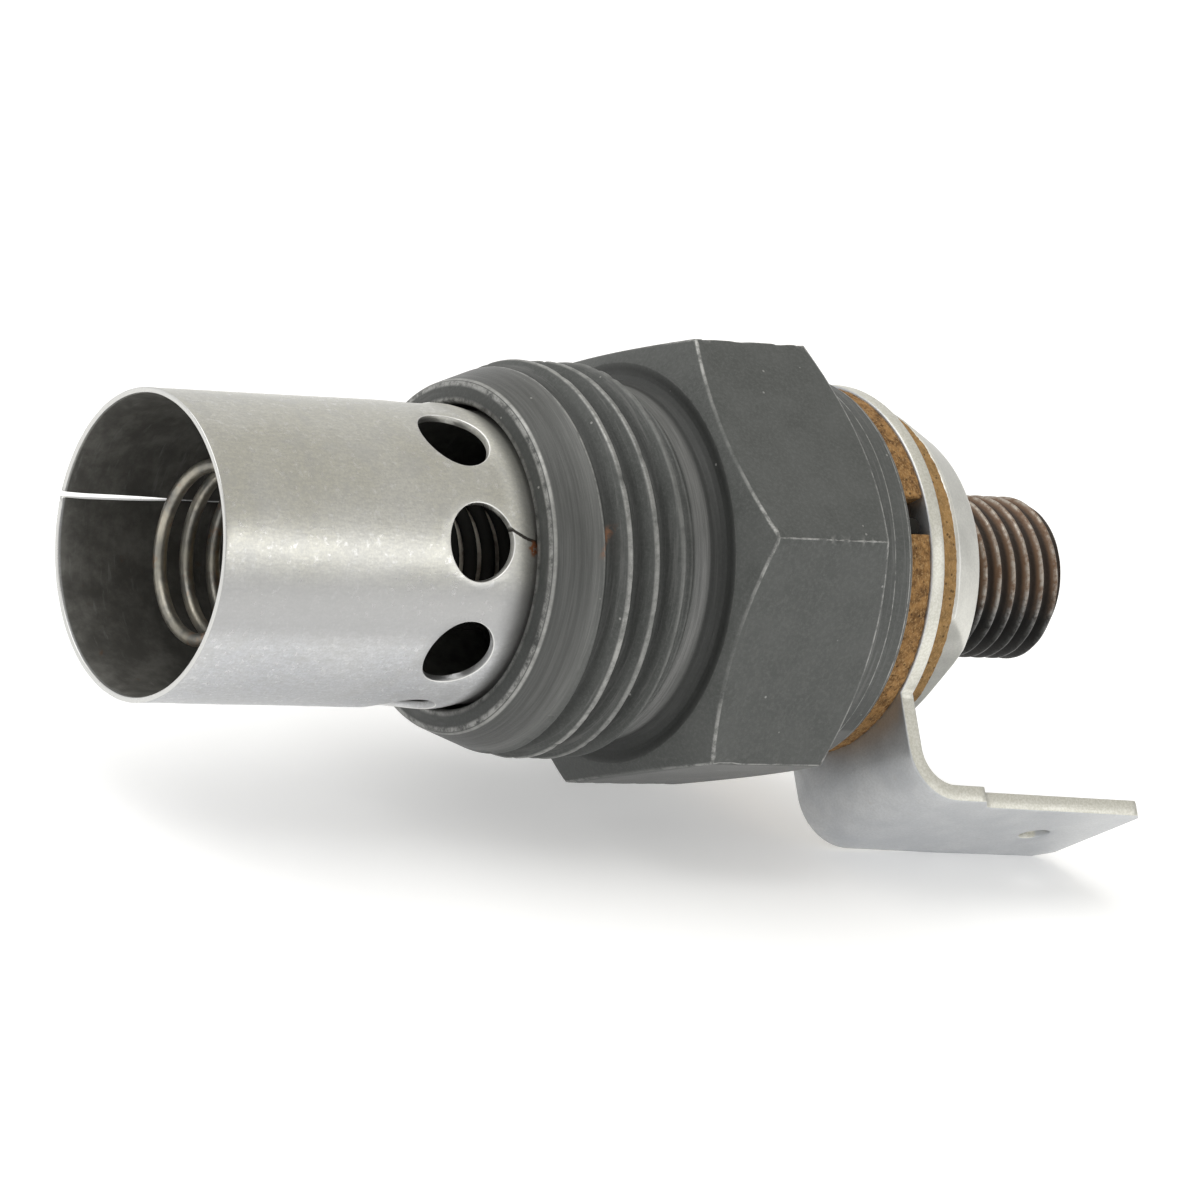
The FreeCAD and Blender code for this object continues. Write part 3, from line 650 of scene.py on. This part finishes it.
def stub_steel():
    """Dark stained thread: rust-brown above and thin pale rubbed crests, with painted shade turning the roots
    and the lower side black.
    """
    g = Graph("stub_steel")
    radius = g.reach()
    stain = g.noise(1.1, detail=7, roughness=0.7, offset=4)
    height_z = g.up()
    rusty = g.ramp(g.math("ADD", height_z, g.times(stain, 3.0)), 0.6, 3.4)
    color = g.mix(g.ramp(stain, 0.3, 0.7), (0.016, 0.016, 0.015), (0.050, 0.045, 0.040))
    color = g.mix(g.times(rusty, 0.75), color, (0.21, 0.118, 0.064))
    # painted shade: the thread roots are darkened nearly black.
    root = g.ramp(radius, STUB_THREAD["major"] - 0.16, STUB_THREAD["major"] - 0.42)
    color = g.mix(g.times(root, 0.85), color, (0.012, 0.011, 0.010))
    # painted shade: the lower side of the stub fades to black.
    below = g.ramp(height_z, 0.2, -2.6)
    crest = g.ramp(radius, STUB_THREAD["major"] - 0.22, STUB_THREAD["major"] - 0.02)
    spots = g.ramp(g.noise(1.6, detail=6, roughness=0.7, offset=9), 0.36, 0.62)
    crest = g.times(crest, spots)
    pale = g.mix(rusty, (0.24, 0.24, 0.235), (0.42, 0.38, 0.33))
    color = g.mix(crest, color, pale)
    # painted shade on the lower side.
    color = g.mix(g.times(below, 0.75), color, (0.010, 0.010, 0.010))
    height = g.noise(6, detail=5, offset=3)
    return g.finish(color, g.blend(crest, 0.3, 0.7), g.blend(crest, 0.5, 0.4), g.bump(height, 0.03))


def simple_metal(name, dark, light, metallic, smooth, grain_mm, depth_mm):
    """Turned or drawn metal with colour variation, fine lines and bright edges, for the inner pieces."""
    g = Graph(name)
    cloud = g.noise(0.8, detail=6, offset=2)
    lines = g.noise(1.0, detail=3, stretch=(grain_mm, 0.4, 0.4), offset=6)
    color = g.mix(g.ramp(cloud, 0.3, 0.7), dark, light)
    edge = g.edge(0.08)
    color = g.mix(g.times(edge, 0.5), color, tuple(min(1.0, 1.35 * c) for c in light))
    return g.finish(color, metallic, g.ramp(cloud, 0.3, 0.7, smooth, smooth + 0.15), g.bump(lines, depth_mm))


def heater_wire():
    """Resistance wire: straw and grey oxide with orange-brown heat tints, painted nearly black behind the
    igniter as shade.
    """
    g = Graph("heater_wire")
    x = g.along()
    band = g.noise(0.35, detail=4, offset=3)
    fine = g.noise(3.0, detail=6, roughness=0.7, offset=7)
    color = g.mix(g.ramp(band, 0.35, 0.65), (0.20, 0.20, 0.19), (0.46, 0.43, 0.36))
    tint = g.ramp(g.noise(0.7, detail=5, roughness=0.7, offset=13), 0.55, 0.68)
    color = g.mix(g.times(tint, 0.5), color, (0.42, 0.19, 0.08))
    soot = g.ramp(fine, 0.58, 0.75)
    color = g.mix(g.times(soot, 0.6), color, (0.05, 0.045, 0.04))
    # painted shade: rearwards from x -20.5 the wire is darkened towards near-black and loses its shine,
    # standing in for the shade inside the shield and holder.
    inner_shade = g.ramp(x, -16.6, -15.2, 0.50, 0.98)
    inner_shade = g.times(inner_shade, g.ramp(x, -20.5, -18.5))
    color = g.mix(inner_shade, color, (0.014, 0.014, 0.013))
    rough_value = g.blend(inner_shade, g.ramp(fine, 0.3, 0.7, 0.28, 0.5), 0.8)
    shine = g.blend(inner_shade, 0.5, 0.04)
    return g.finish(color, g.blend(inner_shade, 0.85, 0.0), rough_value, g.bump(fine, 0.02), specular=shine)


def ceramic():
    """Off-white unglazed insulator, smoke-stained."""
    g = Graph("ceramic")
    stain = g.noise(0.6, detail=7, roughness=0.7, offset=2)
    fine = g.noise(8, detail=4, offset=5)
    color = g.mix(g.ramp(stain, 0.35, 0.7), (0.62, 0.58, 0.50), (0.22, 0.18, 0.14))
    return g.finish(color, 0.0, 0.75, g.bump(fine, 0.03), specular=0.3)


def floor_white():
    """Pale matte floor, seen only from above so that views from below show the object."""
    g = Graph("floor_white")
    tone = g.noise(0.02, detail=2)
    color = g.mix(tone, (0.87, 0.87, 0.87), (0.90, 0.90, 0.90))
    surface = g.node("ShaderNodeBsdfPrincipled", {"Base Color": color, "Roughness": 0.9,
                                                  "Emission Color": (1, 1, 1, 1), "Emission Strength": 0.28})
    clear = g.node("ShaderNodeBsdfTransparent")
    back = g.node("ShaderNodeNewGeometry").outputs["Backfacing"]
    mixed = g.node("ShaderNodeMixShader", {0: back, 1: surface.outputs[0], 2: clear.outputs[0]})
    g.node("ShaderNodeOutputMaterial", {"Surface": mixed.outputs[0]})
    return g.material


STEEL = holder_steel()
SHIELD = shield_steel()
FIBRE = fibre()
PLATED = plated_steel("plated_steel", (0.61, 0.605, 0.56), (0.72, 0.715, 0.67))
BLADE = plated_steel("blade_steel", (0.52, 0.535, 0.555), (0.64, 0.65, 0.66), blade_rim)
STUB = stub_steel()
WIRE = heater_wire()
CERAMIC = ceramic()
BRASS = simple_metal("valve_brass", (0.40, 0.26, 0.10), (0.66, 0.47, 0.20), 0.9, 0.30, 8, 0.01)
NEEDLE = simple_metal("needle_steel", (0.40, 0.40, 0.40), (0.62, 0.62, 0.61), 0.95, 0.22, 10, 0.004)
BALL = simple_metal("ball_steel", (0.62, 0.62, 0.63), (0.78, 0.78, 0.79), 1.0, 0.08, 2, 0.001)
COPPER = simple_metal("copper", (0.42, 0.20, 0.11), (0.68, 0.36, 0.22), 0.9, 0.30, 6, 0.01)


# ---------------------------------------------------------------- pieces


def even_clocks(count, extra=()):
    """Evenly spaced clock angles, with some extra ones, in order."""
    clocks = [360.0 * k / count for k in range(count)]
    return sorted(set(clocks) | set(c % 360.0 for c in extra))


def holder_piece():
    """Turned and threaded body with a bevelled hexagon, as one closed lathe form with softened edges."""
    nose = HOLDER_LOW.x + 0.2
    rear = HOLDER_HIGH.x
    neck_r, corner_r, shoulder_r, seat_r, lip_r = 10.05, 13.8, 11.25, 11.1, 10.8
    hole_r, step_x = 4.95, -4.1
    nose_section = [(nose - 0.2, SHIELD_R + 0.15), (nose, 9.67), (nose + 0.15, 9.82)]
    thread_section = [(-7.4, THREAD["major"]), (-3.3, THREAD["major"]), (-1.9, neck_r), (-0.75, neck_r)]
    fillet = [(-0.53, 10.09), (-0.22, 10.27), (-0.04, 10.57), (0.0, 10.80), (0.0, 11.3)]
    hexagon_section = [(1.225, corner_r), (8.85, corner_r), (10.38, shoulder_r), (11.35, shoulder_r)]
    rear_section = [(11.45, seat_r), (rear - 0.3, seat_r), (rear - 0.09, 11.01), (rear, lip_r)]
    bore = [(rear, hole_r), (STACK_END_X, hole_r), (STACK_END_X, CHAMBER_R), (step_x, CHAMBER_R),
            (step_x, SHIELD_R), (nose, SHIELD_R)]
    outer = nose_section + thread_section + fillet + hexagon_section + rear_section
    section = dense(outer + bore, 0.075)
    beside = (-1.0, -0.5, -0.25, 0.25, 0.5, 1.0)
    corners = [HEX_CORNER_CLOCK + 60 * k + d for k in range(6) for d in beside]
    nicks = make_nicks()
    thread_end_x = -1.2

    def shape(x, r, clock):
        from_flat = (clock + 30.0) % 60.0 - 30.0
        hexagon = HEX_APOTHEM / np.cos(np.radians(from_flat))
        thread = thread_radius(x, clock, THREAD)
        threaded = soft_min(r, thread, 0.07)
        outside = r > 9.5
        result = np.where(outside & (x < thread_end_x), threaded, r)
        result = np.where(outside & (x > thread_end_x), soft_min(r, hexagon, 0.15), result)
        for nick_x, nick_clock, depth, size in nicks:
            arc = (np.abs((clock - nick_clock + 180) % 360 - 180)) * math.pi / 180 * r
            gap = ((x - nick_x) ** 2 + arc ** 2) / size ** 2
            result = result - np.where(outside, depth * np.exp(-gap), 0.0)
        return result

    verts, faces = lathe(section, even_clocks(360, corners), shape)
    return new_piece("holder_body", verts, faces, STEEL, "plug", ["holder"])


def make_nicks():
    """Small dents on the thread crests, the hexagon's corners and its rear edge: (x, clock, depth, size)."""
    rng = np.random.default_rng(7)
    nicks = []
    for _ in range(60):
        clock = rng.uniform(0, 360)
        turn = rng.integers(0, 3)
        crest_x = THREAD["crest_x"] + THREAD["pitch"] * (turn - (clock - THREAD["crest_clock"]) / 360.0)
        if -9 < crest_x < -3.4:
            nicks.append((crest_x, clock, rng.uniform(0.03, 0.09), rng.uniform(0.12, 0.35)))
    for _ in range(36):
        corner = HEX_CORNER_CLOCK + 60 * rng.integers(0, 6)
        nicks.append((rng.uniform(1.2, 8.8), corner, rng.uniform(0.03, 0.10), rng.uniform(0.15, 0.4)))
    for _ in range(24):
        nicks.append((rng.uniform(1.5, 9.5), rng.uniform(0, 360),
                      rng.uniform(0.02, 0.05), rng.uniform(0.08, 0.16)))
    return nicks


def shield_piece():
    """Rolled sheet tube with an open tapering seam and eight round vents with rounded edges."""
    wall = SHIELD_WALL
    mid_r = SHIELD_R - wall / 2
    seam_clock = 184.4
    rim, rear = SHIELD_LOW.x, SHIELD_HIGH.x
    around = 2 * math.pi * mid_r
    taper = 7.5
    rim_gap, gap = 0.31, 0.05
    vents = 8

    def half_gap(x):
        share = min(1.0, (x - rim) / taper)
        return 0.5 * (rim_gap + (gap - rim_gap) * share ** 3)

    seam_steps = 8
    steps = [rim + taper * k / seam_steps for k in range(seam_steps + 1)]
    corners = [(x, half_gap(x)) for x in steps] + [(rear, gap / 2), (rear, around - gap / 2)]
    corners += [(x, around - half_gap(x)) for x in reversed(steps)]
    outline = split_loop(corners, 0.35)
    holes = []
    for k in range(vents):
        clock = VENT_CLOCK + 360.0 / vents * k
        v = math.radians((clock - seam_clock) % 360.0) * mid_r
        holes.append([(VENT_X + VENT_R * math.cos(t), v + mid_r * math.asin(VENT_R * math.sin(t) / mid_r))
                      for t in np.linspace(0, 2 * math.pi, 56, endpoint=False)])

    def place(u, v, h):
        clock = seam_clock + math.degrees(v / mid_r)
        centre = clock_xyz(u, 1.0, clock)
        wave = 0.03 * rough((u * 0.5, centre.y * 4, centre.z * 4), 0.45, 3)
        wave += 0.012 * rough((u, centre.y * 8.5, centre.z * 8.5), 0.9, 5)
        near_rim = max(0.0, 1 - (u - rim) / 1.2)
        lip = 0.035 * near_rim * near_rim
        fade = min(1.0, max(0.0, (-12.0 - u) / 2.0))
        tuck = 0.30 * min(1.0, max(0.0, (u + 12.9) / 1.6)) ** 2
        depth = (wall - h) * (1 - 0.35 * near_rim)
        return clock_xyz(u, SHIELD_R - depth + (wave - 0.02) * fade + lip * 0.5 - tuck, clock)

    verts, faces = sheet(outline, holes, wall, 0.06, 0.55, place)
    return new_piece("flame_shield_tube", verts, faces, SHIELD, "plug", ["flame_shield"])


def washer_piece(name, low_x, high_x, radius, node, seed, slotted=False):
    """Fibre washer with a torn, fibrous rim and, if asked, a radial slot for the lead."""
    start = math.asin(SLOT_HALF / radius) if slotted else 0.0
    angles = np.linspace(start, 2 * math.pi - start, 420, endpoint=slotted)
    outline = [(radius * math.cos(t), radius * math.sin(t)) for t in angles]
    if slotted:
        depth_r = STACK_BORE_R + 0.7
        outline = split_loop(outline + [(depth_r, -SLOT_HALF), (depth_r, SLOT_HALF)], 0.3)
    clock_of_slot = SLOT_CLOCK if slotted else 0.0

    def place(u, v, h):
        reach = math.hypot(u, v)
        clock = clock_of_slot + math.degrees(math.atan2(v, u))
        point = clock_xyz(low_x + h, reach, clock)
        on_rim = max(0.0, min(1.0, (reach - radius + 0.5) / 0.5))
        fuzz = 0.055 * rough(point, 1.6, seed) + 0.05 * rough(point, 5.0, seed + 3) - 0.03
        return clock_xyz(low_x + h, reach + fuzz * on_rim, clock)

    hole = circle_loop(0, 0, STACK_BORE_R, 96)
    verts, faces = sheet(outline, [hole], high_x - low_x, 0.09, 1.1, place, walls=6)
    return new_piece(name, verts, faces, FIBRE, "plug", [node])


def blade_piece():
    """Stamped terminal: ring, leg, right-angle bend and shouldered tongue with a round hole."""
    thick = 0.95
    bend_in = 2.1
    front_x = BLADE_LOW.x
    centre_x = front_x + thick + bend_in
    tongue_r = 15.25
    bend_u = tongue_r - bend_in - thick
    mid = bend_in + thick / 2
    after_u = bend_u + mid * math.pi / 2
    ring_r, half_leg, half_tongue = 10.7, 5.8, 4.75
    end_u = after_u + BLADE_HIGH.x - centre_x
    shoulder_u = after_u + 19.4 - centre_x
    hole_u = after_u + 27.6 - centre_x
    far_corner, near_corner = 1.3, 0.5
    tilt = math.tan(math.radians(2.0))
    start = math.asin(half_leg / ring_r)
    finish = 2 * math.pi - math.asin(half_tongue / ring_r)
    outline = [(ring_r * math.cos(t), ring_r * math.sin(t)) for t in np.linspace(start, finish, 150)]
    outline += [(end_u - far_corner, -half_tongue),
                (end_u - 0.25, -half_tongue + far_corner - 0.3), (end_u, -half_tongue + far_corner + 0.1),
                (end_u, half_tongue - near_corner), (end_u - near_corner, half_tongue),
                (shoulder_u + 0.9, half_tongue), (shoulder_u, half_leg)]
    outline = split_loop(outline, 0.4)
    holes = [circle_loop(0, 0, STACK_BORE_R, 96), circle_loop(hole_u, 0, 0.9, 40)]
    out = clock_xyz(0, 1, BLADE_CLOCK)
    across = Vector((0, out.z, -out.y))

    def place(u, v, h):
        depth = bend_in + thick - h
        if u < bend_u:
            x, reach = centre_x - depth, u
        elif u < after_u:
            turn = (u - bend_u) / mid
            x, reach = centre_x - depth * math.cos(turn), bend_u + depth * math.sin(turn)
        else:
            x, reach = centre_x + u - after_u, bend_u + depth + (u - after_u) * tilt
        return Vector((x, 0, 0)) + out * reach + across * v

    verts, faces = sheet(outline, holes, thick, 0.10, 0.6, place)
    return new_piece("terminal_strip", verts, faces, BLADE, "plug", ["terminal_blade"])


def collar_piece():
    """Tapered clamp nut with rounded edges and two wrench flats."""
    front, rear = COLLAR_LOW.x, COLLAR_HIGH.x
    bore_r = STUB_THREAD["major"]
    section = dense([(front, 9.5), (front + 0.09, 9.62), (front + 0.3, 9.68),
                     (rear - 0.35, 8.52), (rear - 0.1, 8.36), (rear, 8.1),
                     (rear, bore_r + 0.19), (rear - 0.2, bore_r), (front, bore_r)], 0.08)
    flat_clock, flat_apothem = -27.0, 7.9

    def shape(x, r, clock):
        from_flat = (clock - flat_clock + 90.0) % 180.0 - 90.0
        flat = flat_apothem / np.maximum(np.cos(np.radians(from_flat)), 0.2)
        return np.where(r > 7.0, soft_min(r, flat, 0.05), r)

    verts, faces = lathe(section, even_clocks(288), shape)
    return new_piece("clamp_collar_nut", verts, faces, PLATED, "plug", ["clamp_collar"])


def adaptor_piece():
    """Through piece: head in the holder, socket, ball chamber, seat, fuel bore and the rear thread."""
    head = ADAPTOR_LOW.x
    end = ADAPTOR_HIGH.x
    stub_r = STUB_THREAD["major"]
    head_r, socket_r, chamber_r, seat_r, bore_r = 5.9, 2.9, 1.75, 1.0, 1.6
    head_end_x, socket_end_x, chamber_end_x, seat_x, bore_x = 7.4, 12.4, 13.6, 14.35, 15.4
    outer = [(head, socket_r), (head, head_r - 0.3), (head + 0.3, head_r), (head_end_x, head_r),
             (head_end_x, stub_r), (end - 0.45, stub_r), (end - 0.05, stub_r - 0.4), (end, 4.2)]
    bore = [(end, 2.25), (end - 0.06, 2.15), (end - 0.6, bore_r), (bore_x, bore_r), (bore_x, seat_r),
            (seat_x, seat_r), (chamber_end_x, chamber_r), (socket_end_x, chamber_r), (socket_end_x, socket_r)]
    points = dense(outer + bore, 0.06)

    def shape(x, r, clock):
        thread = thread_radius(x, clock, STUB_THREAD)
        threaded = soft_min(r, thread, 0.03)
        return np.where((r > 3.9) & (x > STUB_THREAD["first_x"] + 0.3), threaded, r)

    verts, faces = lathe(points, even_clocks(216), shape)
    return new_piece("fuel_adaptor_stub", verts, faces, STUB, "plug", ["fuel_adaptor"])


def coil_piece():
    """One wire: tight heater winding on the sleeve, then open igniter turns, slightly uneven by hand."""
    wire_r = 0.38
    heater_r, heater_pitch, heater_turns = 3.66, 1.2, 17
    igniter_r, igniter_pitch, igniter_turns = 4.75, 1.72, 4.0
    front_x = COIL_LOW.x + wire_r
    front_clock = 30.0
    per_turn = 56
    total = heater_turns + 1.0 + igniter_turns
    count = int(total * per_turn)
    places = []
    x = 0.0
    for k in range(count + 1):
        turn = k / per_turn
        share = min(max(turn - heater_turns, 0.0), 1.0)
        ease = share * share * (3 - 2 * share)
        reach = heater_r + (igniter_r - heater_r) * ease
        pitch = heater_pitch + (igniter_pitch - heater_pitch) * share
        clock = front_clock + 360.0 * (turn - total)
        wander = 0.05 * ease * rough((turn * 1.3, 0, 0), 1.0, 2)
        places.append((x + 0.08 * ease * rough((0, turn * 1.1, 0), 1.0, 4), reach + wander, clock))
        x -= pitch / per_turn
    shift = front_x - places[-1][0]
    points = []
    for px, reach, clock in places:
        at_x = px + shift
        sag = 0.28 * min(1.0, max(0.0, (-18.0 - at_x) / 6.0))
        points.append(clock_xyz(at_x, reach, clock) + Vector((0, 0, -sag)))

    def radius(k):
        from_end = min(k, count - k)
        return wire_r * (0.55 + 0.45 * min(1.0, from_end / 3.0))

    verts, faces = tube_along(points, radius, 14)
    return new_piece("heater_igniter_wire", verts, faces, WIRE, "plug", ["heater_coil"])


CARRIED = {
    "terminal_bush": FIBRE, "adaptor_gasket": COPPER, "tube_gasket": COPPER, "valve_body": BRASS,
    "valve_end_plug": BRASS, "valve_needle": NEEDLE, "valve_ball": BALL, "coil_sleeve": CERAMIC,
    "terminal_lead": WIRE, "lead_sleeve": CERAMIC,
}


def carry_nodes():
    """CAD nodes that keep their own shape get the finished materials."""
    for node, material in CARRIED.items():
        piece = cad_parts[node]
        piece.data.materials.clear()
        piece.data.materials.append(material)


# ---------------------------------------------------------------- stage


def add_floor():
    """Square floor just under the lowest point of the CAD model, in metres."""
    half = 1.6
    clearance = 0.0001
    height = CAD_BOX[0][2] - clearance
    corners = [(-half, -half), (half, -half), (half, half), (-half, half)]
    mesh = bpy.data.meshes.new("floor")
    mesh.from_pydata([(x, y, height) for x, y in corners], [], [(0, 1, 2, 3)])
    floor = bpy.data.objects.new("floor", mesh)
    bpy.context.scene.collection.objects.link(floor)
    mesh.materials.append(floor_white())


def add_light(name, location, size, power):
    """White area light aimed at the frame's origin; size is (width, height)."""
    data = bpy.data.lights.new(name, "AREA")
    data.shape = "RECTANGLE"
    data.size, data.size_y = size
    data.energy = power
    light = bpy.data.objects.new(name, data)
    light.location = location
    light.rotation_euler = (-light.location).to_track_quat("-Z", "Y").to_euler()
    bpy.context.scene.collection.objects.link(light)


def add_world():
    """Soft studio dome, a little warmer above and brighter behind the plug."""
    world = bpy.data.worlds.new("soft_studio")
    world.use_nodes = True
    tree = world.node_tree
    background = tree.nodes["Background"]
    up = tree.nodes.new("ShaderNodeSeparateXYZ")
    coords = tree.nodes.new("ShaderNodeTexCoord")
    tree.links.new(coords.outputs["Generated"], up.inputs[0])
    ramp = tree.nodes.new("ShaderNodeMapRange")
    tree.links.new(up.outputs[2], ramp.inputs["Value"])
    ramp.inputs["From Min"].default_value = -0.1
    ramp.inputs["From Max"].default_value = 0.8
    mix = tree.nodes.new("ShaderNodeMix")
    mix.data_type = "RGBA"
    tree.links.new(ramp.outputs[0], mix.inputs[0])
    mix.inputs[6].default_value = (0.99, 1.0, 1.02, 1.0)
    mix.inputs[7].default_value = (1.02, 1.0, 0.94, 1.0)
    tree.links.new(mix.outputs[2], background.inputs["Color"])
    back = tree.nodes.new("ShaderNodeMapRange")
    tree.links.new(up.outputs[1], back.inputs["Value"])
    back.inputs["From Min"].default_value = 0.3
    back.inputs["From Max"].default_value = 0.9
    back.inputs["To Min"].default_value = 0.64
    back.inputs["To Max"].default_value = 0.90
    tree.links.new(back.outputs[0], background.inputs["Strength"])
    bpy.context.scene.world = world


def add_camera():
    """Long lens, seen from the side and a little from the open shield's end and from above."""
    back = Vector((-0.5864, -0.7467, 0.3139)).normalized()
    target = Vector((-0.0066, 0.0, 0.0))
    distance = 0.3706
    roll = math.radians(2.175)
    up = Vector((0.0, 0.3875, 0.9219))
    right = up.cross(back).normalized()
    true_up = back.cross(right).normalized()
    right_rolled = right * math.cos(roll) + true_up * math.sin(roll)
    up_rolled = true_up * math.cos(roll) - right * math.sin(roll)
    data = bpy.data.cameras.new("camera")
    data.sensor_width = 36.0
    data.lens = 200.0
    data.shift_x = 0.0687
    data.shift_y = -0.0341
    data.clip_start = 0.01
    data.clip_end = 20.0
    camera = bpy.data.objects.new("camera", data)
    rotation = np.array([right_rolled, up_rolled, back]).T
    camera.matrix_world = Matrix.Translation(target + back * distance) @ Matrix(rotation.tolist()).to_4x4()
    bpy.context.scene.collection.objects.link(camera)
    bpy.context.scene.camera = camera


holder_piece()
shield_piece()
washer_piece("thick_washer", THICK_LOW.x, THICK_HIGH.x, THICK_HIGH.z, "thick_fibre_washer", 3, True)
washer_piece("thin_washer", THIN_LOW.x, THIN_HIGH.x, THIN_HIGH.z, "thin_fibre_washer", 9)
blade_piece()
collar_piece()
adaptor_piece()
coil_piece()
carry_nodes()

add_camera()
add_floor()
add_world()
add_light("strip", (0.34, -0.43, 0.215), (0.42, 0.15), 0.32)
add_light("overhead", (-0.40, 0.15, 0.90), (1.0, 1.2), 6.2)
bpy.context.scene.view_settings.view_transform = "Standard"
